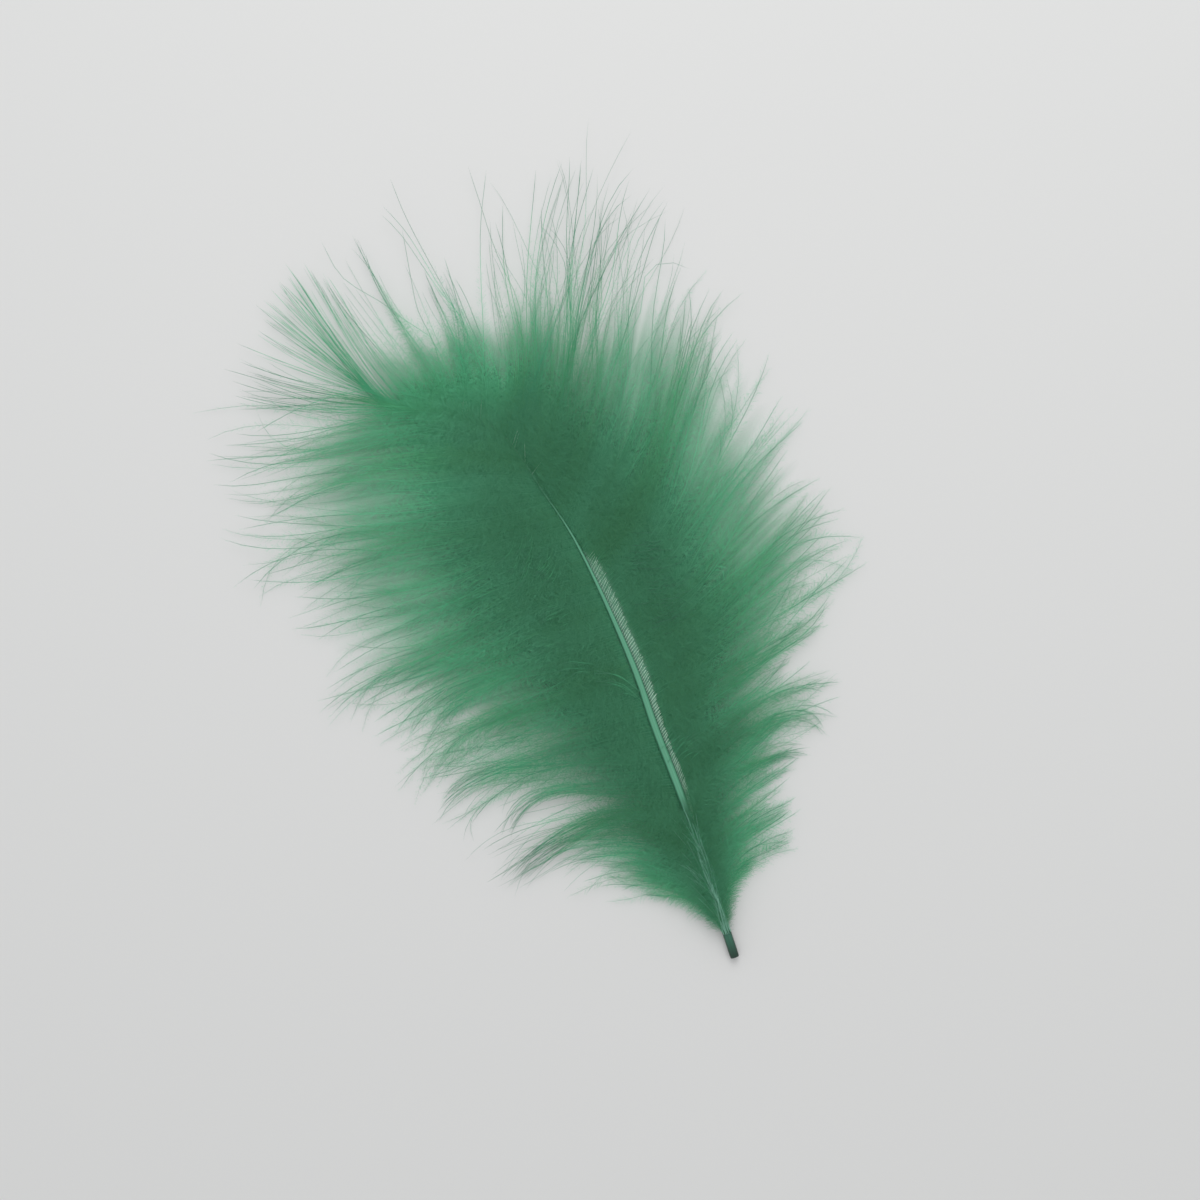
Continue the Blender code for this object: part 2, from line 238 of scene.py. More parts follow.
# How solid the undercoat is, by the place along it.
UNDERCOAT_COVER = [
    (0, 1), (0.2, 1), (0.32, 0.84), (0.43, 0.6), (0.54, 0.42), (0.65, 0.32), (0.76, 0.25), (0.87, 0.17),
    (1, 0.06),
]

# Where along the shaft the tidy fan of the tip starts.
TIP_FAN = 103.0

# The undercoat: the distance along the shaft that fills its map, how far apart the rows of its corners
# stand there, how many corners a row has, and how far from the shaft's edge a row starts at most.
UNDERCOAT_MAP = 120.0
UNDERCOAT_STEP = 0.25
UNDERCOAT_ROW = 22
UNDERCOAT_START = 0.14

# The tone of the pale barbs with painted sheen that lie along the foot of the shaft.
SHEEN_TONE = 1.035

# A root is open to view if it is bare for this long, in millimetres, and leaves the shaft past this
# distance. It is then painted pale up to this place along the barb, with these two values on the map: a
# painted light that lifts the shade beside the shaft.
OPEN_ROOT = 0.45
FIRST_OPEN_ROOT = 22
PALE_TO = 0.08
PALE_ALONG, PALE_TONE = 0.02, 0.999

# How much closer to the root the second and third point of a barb are than even steps put them.
CLOSE_TO_ROOT = np.array([0.58, 0.8])

# How far before the first long thread the down starts and past the last it ends, in millimetres.
BEFORE_FIRST, PAST_LAST = 0.8, 0.2

# How high over the surface the lowest corners of the down and of the undercoat lie, in millimetres.
LOWEST, UNDERCOAT_LOWEST = 0.03, 0.04

# The colour that the barbs are multiplied by at their roots: painted shade of the deep down beside the
# shaft.
ROOT_PAINTED_SHADE = (0.67, 0.58, 0.58)

# How many barbs the sleeve around the foot of the shaft has.
SLEEVE_BARBS = 230

# The places along the shaft whose share of painted root shade the tufts, and the dark barbs of the sleeve,
# take.
TUFT_SHADE_PLACE, SLEEVE_SHADE_PLACE = 88.0, 14.0

# How far the slow waves of a barb swing out beside its length.
WAVE_SIZE = 0.06

# The first handle of a barb's curve, at the shaft, and its second, at the tip, by its length.
ROOT_HANDLE = 0.3
TIP_HANDLE = 0.36

# What the settings that hold a colour have in common.
COLOUR = {"subtype": "COLOR", "size": 3, "min": 0.0, "max": 1.0}


class QuillSettings(bpy.types.PropertyGroup):
    diameter: bpy.props.FloatProperty(
        name="Quill Diameter", description="Across the bare quill", default=1.5 * MM, unit="LENGTH"
    )
    length: bpy.props.FloatProperty(
        name="Shaft Length", description="From the cut end to where the shaft is lost in the threads",
        default=124 * MM, unit="LENGTH",
    )
    lift: bpy.props.FloatProperty(
        name="Lift", description="How far the shaft bows up from the surface between its ends",
        default=1.3 * MM, unit="LENGTH",
    )
    groove: bpy.props.FloatProperty(
        name="Groove", description="Depth of the groove along the top of the shaft, by its radius",
        default=0.22, min=0.0, max=0.6,
    )
    colour: bpy.props.FloatVectorProperty(
        name="Quill Colour", description="The dyed horn of the shaft", default=(0.12, 0.41, 0.245),
        **COLOUR,
    )


class DownSettings(bpy.types.PropertyGroup):
    barbs_per_side: bpy.props.IntProperty(
        name="Barbs per Side", description="How many barbs each side of the shaft carries",
        default=500, min=50, max=800,
    )
    barb_thickness: bpy.props.FloatProperty(
        name="Barb Thickness", description="Across a barb at its root", default=0.1 * MM, unit="LENGTH",
        precision=5,
    )
    barbule_length: bpy.props.FloatProperty(
        name="Barbule Length", description="Of the longest barbules", default=2.5 * MM, unit="LENGTH"
    )
    barbule_width: bpy.props.FloatProperty(
        name="Barbule Width", description="Across a barbule at its root", default=0.02 * MM,
        unit="LENGTH", precision=5,
    )
    barbules_per_mm: bpy.props.FloatProperty(
        name="Barbules per Millimetre", description="Along the fluffy part of a barb", default=37.0, min=1.0
    )
    height: bpy.props.FloatProperty(
        name="Down Height", description="How high the down stands over the surface", default=3.2 * MM,
        unit="LENGTH",
    )
    deep_colour: bpy.props.FloatVectorProperty(
        name="Deep Colour", description="The darkest and bluest barbs", default=(0.09, 0.45, 0.24),
        **COLOUR,
    )
    bright_colour: bpy.props.FloatVectorProperty(
        name="Bright Colour", description="The lightest barbs", default=(0.17, 0.68, 0.38), **COLOUR
    )


class StageSettings(bpy.types.PropertyGroup):
    paper_colour: bpy.props.FloatVectorProperty(
        name="Paper Colour", description="The pale sheet under the feather",
        default=(0.76, 0.76, 0.745), **COLOUR,
    )
    camera_height: bpy.props.FloatProperty(
        name="Camera Height", description="Of the camera over the sheet", default=0.45, unit="LENGTH"
    )


def between(pairs, at):
    """The values at these places on a line of straight stretches."""
    places, values = zip(*pairs)
    return np.interp(at, places, values)


def rows_between(places, rows, at):
    """The rows at these places, on straight lines from one given row to the next."""
    return np.stack([np.interp(at, places, column) for column in rows.T], axis=-1)


def unit(vectors):
    return vectors / np.maximum(np.linalg.norm(vectors, axis=-1, keepdims=True), 1e-9)


def crosswise(along):
    """The level direction across each of these, and the one that is square to both."""
    across = unit(np.cross(along, [0.0, 0.0, 1.0]))
    return across, np.cross(across, along)


def distances_along(paths):
    """How far along its path each point lies."""
    steps = np.linalg.norm(np.diff(paths, axis=-2), axis=-1)
    return np.concatenate([np.zeros_like(steps[..., :1]), np.cumsum(steps, axis=-1)], axis=-1)


def smooth_line(points, parts=8):
    """A smooth curve through the points, as closely set ones."""
    points = np.array(points, float)
    ends = np.vstack([2 * points[:1] - points[1:2], points, 2 * points[-1:] - points[-2:-1]])
    t = np.arange(parts)[:, None] / parts
    line = []
    for before, start, end, after in zip(ends, ends[1:], ends[2:], ends[3:]):
        bend = 2 * before - 5 * start + 4 * end - after
        swing = 3 * start - before - 3 * end + after
        line.append(0.5 * (2 * start + (end - before) * t + bend * t**2 + swing * t**3))
    return np.vstack([*line, points[-1:]])


def path_through(places):
    """A barb's path through these places on the sheet, with its points set evenly along it."""
    line = smooth_line(places)
    distances = distances_along(line)
    return rows_between(distances, line, np.linspace(0, distances[-1], Barbs.POINTS))


class Shaft:
    """The middle line of the shaft on the sheet, read by the distance along it, in millimetres."""

    def __init__(self, quill):
        self.line = smooth_line(SHAFT_LINE)
        self.distances = distances_along(self.line)
        steps = np.diff(self.line, axis=0)
        self.headings = np.unwrap(np.arctan2(steps[:, 1], steps[:, 0]))
        self.quill_radius = quill.diameter / MM / 2
        self.length = quill.length / MM
        self.lift = quill.lift / MM

    def at(self, distance):
        return rows_between(self.distances, self.line, distance)

    def heading(self, distance):
        """The way the shaft runs there, in radians from X towards Y."""
        middles = (self.distances[1:] + self.distances[:-1]) / 2
        return np.interp(distance, middles, self.headings)

    def turned(self, distance, degrees):
        """The direction that is turned by this much from the shaft there, the left side being at 90."""
        return directions(np.degrees(self.heading(distance)) + degrees)

    def radius(self, distance):
        return self.quill_radius * between(SHAFT_WIDTHS, distance)

    def height(self, distance):
        """Of the middle line over the surface."""
        along = np.clip(np.asarray(distance) / self.length, 0, 1)
        bedded = self.quill_radius * (1 - 0.7 * along)
        return bedded + self.lift * np.sin(math.pi * along)


def sheet_origin():
    """Where the cut end of the quill lies in the part's frame: the solid's lowest ring along Y."""
    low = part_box(NODE)[0]
    corners = np.array([vertex.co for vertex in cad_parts[NODE].data.vertices])
    ring = corners[corners[:, 1] < low.y + 1 * MM]
    return np.unique(np.round(ring, 6), axis=0).mean(axis=0)[:2]


SHEET_ORIGIN = sheet_origin()


def in_frame(points):
    """Points of the sheet with their heights, in millimetres, as points of the part's frame."""
    cos, sin = math.cos(SHEET_TURN), math.sin(SHEET_TURN)
    placed = np.array(points, float) * MM
    x, y = placed[..., 0].copy(), placed[..., 1].copy()
    placed[..., 0] = SHEET_ORIGIN[0] + x * cos - y * sin
    placed[..., 1] = SHEET_ORIGIN[1] + x * sin + y * cos
    return placed


def directions(degrees):
    angles = np.radians(degrees)
    return np.stack([np.cos(angles), np.sin(angles)], axis=-1)


class Barbs:
    """A set of barbs: their paths, with the same number of points each, and what each is like."""

    POINTS = 17

    def __init__(self, paths, roots, tones, bare, reach, thickness=1.0, dense=1.0):
        self.paths = paths
        values = (roots, tones, bare, reach, thickness, dense)
        self.values = [np.broadcast_to(np.asarray(value, float), len(paths)) for value in values]
        self.roots, self.tones, self.bare, self.reach, self.thickness, self.dense = self.values

    def chosen(self, which):
        return Barbs(self.paths[which], *(value[which] for value in self.values))

    def map_along(self, barb, t):
        """The map's first value for these barbs and places along them."""
        # Where the down is thin, the map is pushed outwards, so less painted root shade falls there.
        pale = between(LESS_ROOT_SHADE, self.roots[barb])
        return 0.01 + 0.98 * (pale + (1 - pale) * t)


def bezier(start, first, second, end, t):
    """Points of cubic curves: the handles have one row for each curve, and t has one for its places."""
    start, first, second, end = (handle[:, None, :] for handle in (start, first, second, end))
    t = t[:, :, None]
    rest = 1 - t
    return rest**3 * start + 3 * rest**2 * t * first + 3 * rest * t**2 * second + t**3 * end


def wave_shapes(count, rng):
    """How many waves each curve has, where they start, and how much its tip curls."""
    turns, phase = rng.uniform(0.5, 1.6, count), rng.uniform(0, 2 * math.pi, count)
    return np.column_stack([turns, phase, rng.normal(0, 0.25, count)])


def with_waves(paths, size, shapes):
    """The flat paths with slow waves and a slight curl at the tip, of this size beside their length."""
    t = np.linspace(0, 1, paths.shape[1])[None, :]
    along = unit(np.gradient(paths, axis=1))
    across = np.stack([-along[..., 1], along[..., 0]], axis=-1)
    length = np.linalg.norm(paths[:, -1] - paths[:, 0], axis=1)[:, None]
    turns, phase, curl = shapes.T[:, :, None]
    wave = WAVE_SIZE * np.sin(2 * math.pi * turns * t + phase) * t * (1.1 - t)
    return paths + across * (size * length * (wave + curl * np.clip(t - 0.5, 0, None) ** 2))[..., None]


def kept_inside(flat):
    """The flat paths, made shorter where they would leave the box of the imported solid."""
    placed = in_frame(np.concatenate([flat, np.zeros((*flat.shape[:2], 1))], axis=-1))[..., :2]
    low, high = np.array(CAD_BOX)[:, :2]
    root = placed[:, :1]
    room = np.where(placed > root, high - root, root - low)
    share = np.min(room / np.maximum(np.abs(placed - root), 1e-9), axis=(1, 2))
    return flat[:, :1] + (flat - flat[:, :1]) * np.minimum(share, 1)[:, None, None]


def hooked(flat, back):
    """The flat paths with their roots moved back by this much, and straight from there to HOOK_REACH."""
    share = np.clip(1 - distances_along(flat) / HOOK_REACH, 0, 1)
    return flat - share[..., None] * back[:, None, :]


def raised(flat, root_height, peak, tip_height):
    """The flat paths with heights: from the shaft they arch up and then settle on the surface."""
    t = np.linspace(0, 1, flat.shape[1])[None, :]
    root_height, peak, tip_height = (np.reshape(each, (-1, 1)) for each in (root_height, peak, tip_height))
    height = root_height * (1 - t) ** 2 + peak * 4 * t * (1 - t) ** 1.3 + tip_height * t**2
    return np.concatenate([flat, height[..., None]], axis=-1)


def spread_roots(start, end, count, rng):
    """Distances along the shaft between these two, in close pairs, as closely set as BARB_SPACING says."""
    fine = np.linspace(start, end, 400)
    share = np.cumsum(between(BARB_SPACING, fine))
    share = (share - share[0]) / (share[-1] - share[0])
    index = np.arange(count)
    return np.interp((index - 0.7 * (index % 2) + rng.uniform(0.9, 1.0, count)) / count, share, fine)


class Side:
    """One side of the shaft: its sign (left is 1), its longest threads and how its barbs stand."""

    def __init__(self, name, sign, seed, threads, leave_angles, hook, bare, fluffy, dense):
        self.name, self.sign, self.seed = name, sign, seed
        self.roots, self.tips, self.headings = (np.array(column, float) for column in zip(*threads))
        self.leave_angles, self.hook, self.bare = leave_angles, hook, bare
        self.fluffy, self.dense = fluffy, dense

    def smoothed(self, roots, reach):
        """Tips and headings for these roots, as the mean of the threads near them."""
        weights = np.exp(-(((roots[:, None] - self.roots[None, :]) / reach) ** 2)) + 1e-9
        weights /= weights.sum(axis=1, keepdims=True)
        return weights @ self.tips, weights @ self.headings

    def curves(self, shaft, roots, across, tips, headings, angles, t):
        """The flat curves from the shaft to the tips, at these places of each curve."""
        begin = shaft.at(roots)
        length = np.linalg.norm(tips - begin, axis=1)[:, None]
        edge = begin + shaft.turned(roots, self.sign * 90) * (across * shaft.radius(roots))[:, None]
        leave = shaft.turned(roots, self.sign * angles)
        first = edge + leave * length * (ROOT_HANDLE + 0.12 * between(HUG_SHAFT, roots))[:, None]
        second = tips - directions(headings) * TIP_HANDLE * length
        return bezier(edge, first, second, tips, t)


SIDES = (
    Side("right", -1, 11, RIGHT_THREADS, RIGHT_LEAVE, HOOK_RIGHT, BARE_RIGHT, FLUFFY_RIGHT, DENSE_RIGHT),
    Side("left", 1, 23, LEFT_THREADS, LEFT_LEAVE, NO_HOOK, BARE_LEFT, FLUFFY_LEFT, DENSE_LEFT),
)


def leaders(roots, nearest, side):
    """Which barbs stand closest to the root of a longest thread, and so take its place."""
    gap = np.abs(roots - side.roots[nearest])
    leader = np.zeros(len(roots), bool)
    for lock in range(len(side.roots)):
        members = np.flatnonzero(nearest == lock)
        if len(members):
            leader[members[gap[members].argmin()]] = True
    return leader


def aims(shaft, side, roots, nearest, leader, gathered, rng):
    """Where the barbs end and the way they point there: those in locks go with the longest threads."""
    count, unruly = len(roots), between(UNRULY, roots)
    own_lock = gathered | leader
    tips = rows_between(side.roots, side.tips, roots + rng.normal(0, 2.2, count) * unruly)
    tips = np.where(own_lock[:, None], side.tips[nearest], tips)
    headings = np.where(own_lock, side.headings[nearest], side.smoothed(roots, 6.0)[1])

    # The leaders keep to their threads, those that gather stray a little and the others most.
    turn = np.where(leader, 0, np.where(gathered, 10, 18))
    headings = headings + rng.normal(0, 1, count) * unruly * turn
    length = np.linalg.norm(tips - shaft.at(roots), axis=1)
    spread = np.where(leader, 0, np.where(gathered, 0.025, 0.045)) * length * unruly
    return tips + rng.normal(0, 1, (count, 2)) * spread[:, None], headings


def vane_curves(shaft, side, roots, nearest, leader, gathered, rng):
    """The flat paths of the barbs of one side, and where across the shaft they start."""
    count = len(roots)
    tips, headings = aims(shaft, side, roots, nearest, leader, gathered, rng)

    # Most barbs reach nearly to where they aim, the others end well before it.
    full = rng.random(count) < 0.7
    share = np.where(full, rng.uniform(0.86, 1.0, count), rng.uniform(0.6, 0.86, count))
    share = np.where(leader, 1.0, share)[:, None]

    hug = between(HUG_SHAFT, roots) * rng.uniform(0, 0.85, count)
    angles = between(side.leave_angles, roots) * (1 - hug) + rng.normal(0, 2.5, count)
    across = 0.8 - between(ROOTS_OVER_SHAFT, roots) * rng.uniform(0, 1.3, count)
    even = np.linspace(0, 1, Barbs.POINTS)[None, :]
    t = even * (share + (1 - share) * (1 - even) ** 8)
    t[:, 1:3] *= CLOSE_TO_ROOT
    flat = side.curves(shaft, roots, across, tips, headings, angles, t)

    own, shared = wave_shapes(count, rng), wave_shapes(len(side.roots), rng)[nearest]
    waves = np.where((gathered | leader)[:, None], 0.85 * shared + 0.15 * own, own)
    waves[leader, 2] = 0
    flat = kept_inside(with_waves(flat, between(UNRULY, roots)[:, None], waves))
    back = between(side.hook, roots)[:, None] * shaft.turned(roots, 0)
    return hooked(flat, back), across


def vane_barbs(shaft, down, side, rng):
    """The barbs of one side of the shaft, some in locks that gather towards the longest threads."""
    count, locks = down.barbs_per_side, len(side.roots)
    roots = spread_roots(side.roots[0] - BEFORE_FIRST, side.roots[-1] + PAST_LAST, count, rng)
    nearest = np.abs(roots[:, None] - side.roots[None, :]).argmin(axis=1)
    leader = leaders(roots, nearest, side)
    gathered = rng.random(count) < between(GATHERED, roots)
    flat, across = vane_curves(shaft, side, roots, nearest, leader, gathered, rng)

    # The layer says how high a barb lies in the down; the bold ones are thick and lie near the top.
    layer = np.clip(0.3 * rng.random(locks)[nearest] + 0.7 * rng.random(count), 0, 1)
    bold = leader | (rng.random(count) < 0.1)
    layer = np.where(bold, 0.6 + 0.4 * layer, layer)
    loft = between(LOFT_ALONG_SHAFT, roots) * down.height / MM
    rise = np.sqrt(np.clip(1 - across**2, 0.05, 1)) * shaft.radius(roots) + 0.05
    on_top = between(ROOTS_OVER_SHAFT, roots) > 0
    root_height = shaft.height(roots) + np.where(on_top, rise, 0.2 * shaft.radius(roots))
    paths = raised(flat, root_height, (0.26 + 0.68 * layer) * loft, 0.15 + 1.6 * layer**2)

    bare = between(side.bare, roots) * rng.uniform(0.75, 1.15, count)
    slow = 0.5 + 0.3 * np.sin(roots * 0.9 + side.sign) * np.sin(roots * 0.37)
    lock_tone = np.where(gathered | leader, rng.random(locks)[nearest], rng.random(count))
    tones = np.clip(0.35 * slow + 0.35 * lock_tone + 0.3 * rng.random(count), 0, 1)
    in_fan = roots > TIP_FAN
    tones = np.where(in_fan, 0.4 + 0.5 * tones, tones)
    thickness = np.where(bold, 1.0, 0.55) * np.where(in_fan, 0.85, 1.0)
    dense = between(side.dense, roots)
    return Barbs(paths, roots, tones, bare, between(side.fluffy, roots), thickness, dense)


def crossing_barbs(shaft, rng):
    """The single threads that cross the others."""
    flat = np.array([path_through([shaft.at(root), *places]) for root, places in CROSSING_THREADS])
    roots = np.array([root for root, _ in CROSSING_THREADS])
    count = len(roots)
    paths = raised(flat, shaft.height(roots), rng.uniform(1.0, 3.0, count), rng.uniform(0.8, 2.0, count))
    return Barbs(paths, roots, rng.random(count), 0.5, 0.35, 0.8)


def sleeve_barbs(shaft, rng):
    """The short barbs that lie along the foot of the shaft and hide it, half of them pale with painted
    sheen.
    """
    count = SLEEVE_BARBS
    roots = 4.0 + 13.0 * rng.random(count) ** 1.5
    length = rng.uniform(5.0, 10.0, count)
    t = np.linspace(0, 1, Barbs.POINTS)[None, :]
    along = roots[:, None] + length[:, None] * t
    start = rng.uniform(-0.95, 0.95, (count, 1)) * shaft.radius(roots)[:, None]
    wander = 0.6 * start + rng.uniform(-1.0, 3.4, (count, 1))
    aside = start + wander * t**1.6
    flat = shaft.at(along) + shaft.turned(along, 90) * aside[..., None]
    radius = shaft.radius(along)
    height = shaft.height(along) + np.sqrt(np.clip(radius**2 - aside**2, 0, None)) + 0.1
    height = height + rng.uniform(0.1, 1.0, (count, 1)) * np.sin(math.pi * t * 0.7)
    paths = np.concatenate([flat, height[..., None]], axis=-1)
    # Half are pale streaks whose colour is a painted sheen.
    with_sheen = rng.random(count) < 0.5
    tones = np.where(with_sheen, SHEEN_TONE, rng.uniform(0.0, 0.7, count))
    thickness = np.where(with_sheen, rng.uniform(0.8, 2.0, count), 1.0)
    paths[with_sheen, :, 2] += 0.15
    reach = np.where(with_sheen, 0.05, 0.5)
    pale = np.where(with_sheen, LESS_ROOT_SHADE[-1][0], SLEEVE_SHADE_PLACE)
    return Barbs(paths, pale, tones, 0.6, reach, thickness)


def tuft_barbs(down, rng):
    """The barbs of the small tufts on top of the down."""
    paths, tones = [], []
    rest = np.linspace(1, 0, Barbs.POINTS)
    for place, heading, turn, length, spread, count, tone in TUFTS:
        for _ in range(count):
            start = np.array(place) + rng.normal(0, spread, 2)
            reach = length * rng.uniform(0.3, 1.1)
            way = heading + rng.normal(0, 6)
            first = start + reach * 0.5 * directions(way)
            end = first + reach * 0.5 * directions(way + turn + rng.normal(0, 6))
            flat = path_through([start, first, end])
            top = down.height / MM * rng.uniform(0.95, 1.1)
            paths.append(np.column_stack([flat, top * (1 - 0.25 * rest**2)]))
            tones.append(tone)
    return Barbs(np.array(paths), TUFT_SHADE_PLACE, tones, 0.0, 0.1, 0.9)


def open_roots(barbs):
    """How open to view the root of each barb is, from 0 to 1."""
    seen = (barbs.bare > OPEN_ROOT) & (barbs.tones <= 1) & (barbs.roots > FIRST_OPEN_ROOT)
    return seen * np.minimum(barbs.bare, 1)


def strand_faces(points, count):
    """The triangles of this many three-sided strands along paths of this many points."""
    faces = []
    for here in range(3 * (points - 2)):
        there = here - here % 3 + (here + 1) % 3
        faces += [(here, there, there + 3), (here, there + 3, here + 3)]
    last, point = 3 * (points - 2), 3 * (points - 1)
    faces += [(last + corner, last + (corner + 1) % 3, point) for corner in range(3)]
    faces.append((2, 1, 0))
    return (np.array(faces) + (point + 1) * np.arange(count)[:, None, None]).reshape(-1, 3)


def strand_map(barbs, points, open_root):
    """The two values of the map at each corner of the strands."""
    where = np.concatenate([np.repeat(np.arange(points - 1), 3), [points - 1]])[None, :] / (points - 1)
    step = np.concatenate([np.tile([0.0, 0.5, 1.0], points - 1), [0.5]])
    u = barbs.map_along(np.arange(len(barbs.paths))[:, None], where)
    tones, roots = barbs.tones[:, None], barbs.roots[:, None]

    # Up to here a barb has the tone of its barbules, and past it that of a bare strand.
    hidden = 0.5 + 0.36 * ((roots * 7.3) % 1.0) + np.where(roots > TIP_FAN, 0.25, 0)
    fluffy_tone, bare_tone = 0.2 + 0.74 * tones, 0.02 + 0.09 * tones
    v = np.where((where < hidden) | (tones > 1), fluffy_tone, bare_tone) + 0.015 * step
    # Open roots are painted pale: painted light over the shade beside the shaft.
    pale = (open_root > 0)[:, None] & (where < PALE_TO)
    u, v = np.where(pale, PALE_ALONG, u), np.where(pale, PALE_TONE, v)
    return np.stack([u, v], axis=-1).reshape(-1, 2)


def strand_mesh(barbs, thickness):
    """The barbs themselves as three-sided strands that taper to a point: corners, faces and map."""
    paths = barbs.paths
    count, points, _ = paths.shape
    across, upward = crosswise(unit(np.gradient(paths, axis=1)))
    t = np.linspace(0, 1, points)
    own = barbs.thickness[:, None] * between(BARB_TAPER, t)
    open_root = open_roots(barbs)
    least = open_root[:, None] * between(OPEN_ROOT_THICKNESS, t)
    radius = thickness / 2 * np.maximum(own, least)[:, :, None, None]
    turns = np.radians([90, 210, 330])[:, None]
    ring = np.cos(turns) * across[:, :, None, :] + np.sin(turns) * upward[:, :, None, :]
    rings = paths[:, :, None, :] + radius * ring
    corners = np.concatenate([rings[:, :-1].reshape(count, -1, 3), paths[:, -1:]], axis=1)
    faces = strand_faces(points, count)
    return corners.reshape(-1, 3), faces, strand_map(barbs, points, open_root)[faces]


def fluff(barbs):
    """How long the barbules are at each point of the barbs, beside the longest."""
    t = np.linspace(0, 1, barbs.paths.shape[1])[None, :]
    past = distances_along(barbs.paths) - barbs.bare[:, None]
    rise = np.where(past > -0.25, np.clip(0.4 + past / 2.5, 0, 1), 0)
    reach = barbs.reach[:, None]
    fade = np.clip((t - 0.55 * reach) / (1.02 - 0.55 * reach), 0, 1)
    return rise * (1 - fade) ** (0.55 + 3 * (1 - reach) ** 2) * np.clip(reach / 0.35, 0.25, 1)


def barbule_spots(barbs, size, down, rng):
    """Where the barbules stand: on which barb, on which stretch of its path and how far along that."""
    stretches = size.shape[1] - 1
    crowd = between(BARBULE_CROWD, (np.arange(stretches) + 0.5) / stretches / barbs.dense[:, None])
    mean_size = (size[:, 1:] + size[:, :-1]) / 2
    length = np.linalg.norm(np.diff(barbs.paths, axis=1), axis=2)
    number = (length * down.barbules_per_mm * np.clip(mean_size * 2, 0, 1) * crowd).ravel()
    total = np.cumsum(number)
    amount = int(total[-1])
    spot = (np.arange(amount) + rng.random(amount)) * total[-1] / amount
    segment = np.minimum(np.searchsorted(total, spot), total.size - 1)
    before = total[segment] - number[segment]
    part = (spot - before) / np.maximum(number[segment], 1e-9)
    return segment // stretches, segment % stretches, part


def barbule_mesh(barbs, down, rng):
    """The barbules: a slender triangle each, rooted in a barb; half of them widen away from it."""
    size = fluff(barbs)
    barb, index, part = barbule_spots(barbs, size, down, rng)
    amount = len(barb)
    step = barbs.paths[barb, index + 1] - barbs.paths[barb, index]
    root = barbs.paths[barb, index] + part[:, None] * step
    along = unit(step)
    across, upward = crosswise(along)
    t = (index + part) / (size.shape[1] - 1)
    turn = math.pi * rng.integers(0, 2, amount) + rng.normal(0, 0.6, amount)
    out = np.cos(turn)[:, None] * across + np.sin(turn)[:, None] * upward
    lean = np.radians(68 - 26 * t + rng.normal(0, 15, amount))[:, None]
    way = np.cos(lean) * along + np.sin(lean) * out
    here = size[barb, index] * (1 - part) + size[barb, index + 1] * part
    length = down.barbule_length / MM * here * rng.uniform(0.6, 1.15, amount)
    flat_way = unit(np.cross(way, rng.normal([0.0, 0.0, 1.0], 0.4, (amount, 3))))
    half = flat_way * down.barbule_width / MM / 2
    end = root + way * length[:, None]
    widens = (rng.random(amount) < 0.5)[:, None]
    point, base = np.where(widens, root, end), np.where(widens, end, root)
    corners = np.stack([base - half, base + half, point], axis=1)

    u = np.clip(barbs.map_along(barb, t), 0, 0.99)
    v = 0.2 + 0.76 * np.clip(barbs.tones[barb] + rng.normal(0, 0.05, amount), 0, 1)
    corner_map = np.stack([u, v], axis=-1)[:, None, :] + np.array([[0, 0], [0.008, 0], [0.004, 0.012]])
    return corners.reshape(-1, 3), np.arange(3 * amount).reshape(-1, 3), corner_map


def undercoat_mesh(shaft, down, side):
    """The barbules that are too fine to draw, as a low cushion under the barbs: corners, faces and map."""
    start, end = side.roots[0] - BEFORE_FIRST, side.roots[-1]
    roots = np.linspace(start, end, int((end - start) / UNDERCOAT_STEP))
    tips, headings = side.smoothed(roots, 5.0)
    gap = np.clip(np.abs(roots[:, None] - side.roots[None, :]).min(axis=1), 0, 1.5)
    reach = np.minimum(between(side.dense, roots) * (1.03 - 0.12 * gap), 0.98)
    bare = between(side.bare, roots)
    begin = np.minimum(bare, UNDERCOAT_START) / np.linalg.norm(tips - shaft.at(roots), axis=1)
    q = np.linspace(0, 1, UNDERCOAT_ROW)[None, :]
    t = begin[:, None] + (reach - begin)[:, None] * q
    flat = side.curves(shaft, roots, 0.6, tips, headings, between(side.leave_angles, roots), t)
    loft = between(LOFT_ALONG_SHAFT, roots)[:, None] * down.height / MM
    beside_shaft = shaft.height(roots)[:, None] * (0.5 * (1 - q) ** 2 + 0.4 * (1 - q) ** 14)
    top = 0.08 + beside_shaft + 0.24 * loft * 4 * t * (1 - t) ** 1.3
    heights = np.stack([top, np.full_like(top, UNDERCOAT_LOWEST)])
    corners = np.concatenate([np.stack([flat, flat]), heights[..., None]], axis=-1).reshape(-1, 3)
    faces = closed_shell_faces(*t.shape, side.sign > 0)

    # Where the roots are hardly bare, the map starts past the pale inner rim, a painted light that lifts
    # the shade beside the shaft.
    lead = 0.056 * np.clip((0.85 - bare) / 0.6, 0, 1)[:, None]
    along = np.broadcast_to((roots / UNDERCOAT_MAP)[:, None], t.shape)
    corner_map = np.stack([lead + (1 - lead) * q, along], axis=-1).reshape(-1, 2)
    return corners, faces, (0.01 + 0.98 * np.tile(corner_map, (2, 1)))[faces]


def closed_shell_faces(columns, rows, flipped):
    """Triangles between an upper and a lower grid of corners, with the walls that close their rims."""
    here = (np.arange(columns - 1)[:, None] * rows + np.arange(rows - 1)[None, :]).ravel()
    over = np.stack([here, here + rows, here + rows + 1, here + 1], axis=1)
    grid = np.arange(columns * rows).reshape(columns, rows)
    rim = np.concatenate([grid[:-1, 0], grid[-1, :-1], grid[:0:-1, -1], grid[0, :0:-1]])
    ahead = np.roll(rim, -1)
    walls = np.stack([ahead, rim, rim + grid.size, ahead + grid.size], axis=1)
    quads = np.concatenate([over, over[:, ::-1] + grid.size, walls])
    if flipped:
        quads = quads[:, ::-1]
    return np.concatenate([quads[:, [0, 1, 2]], quads[:, [0, 2, 3]]])


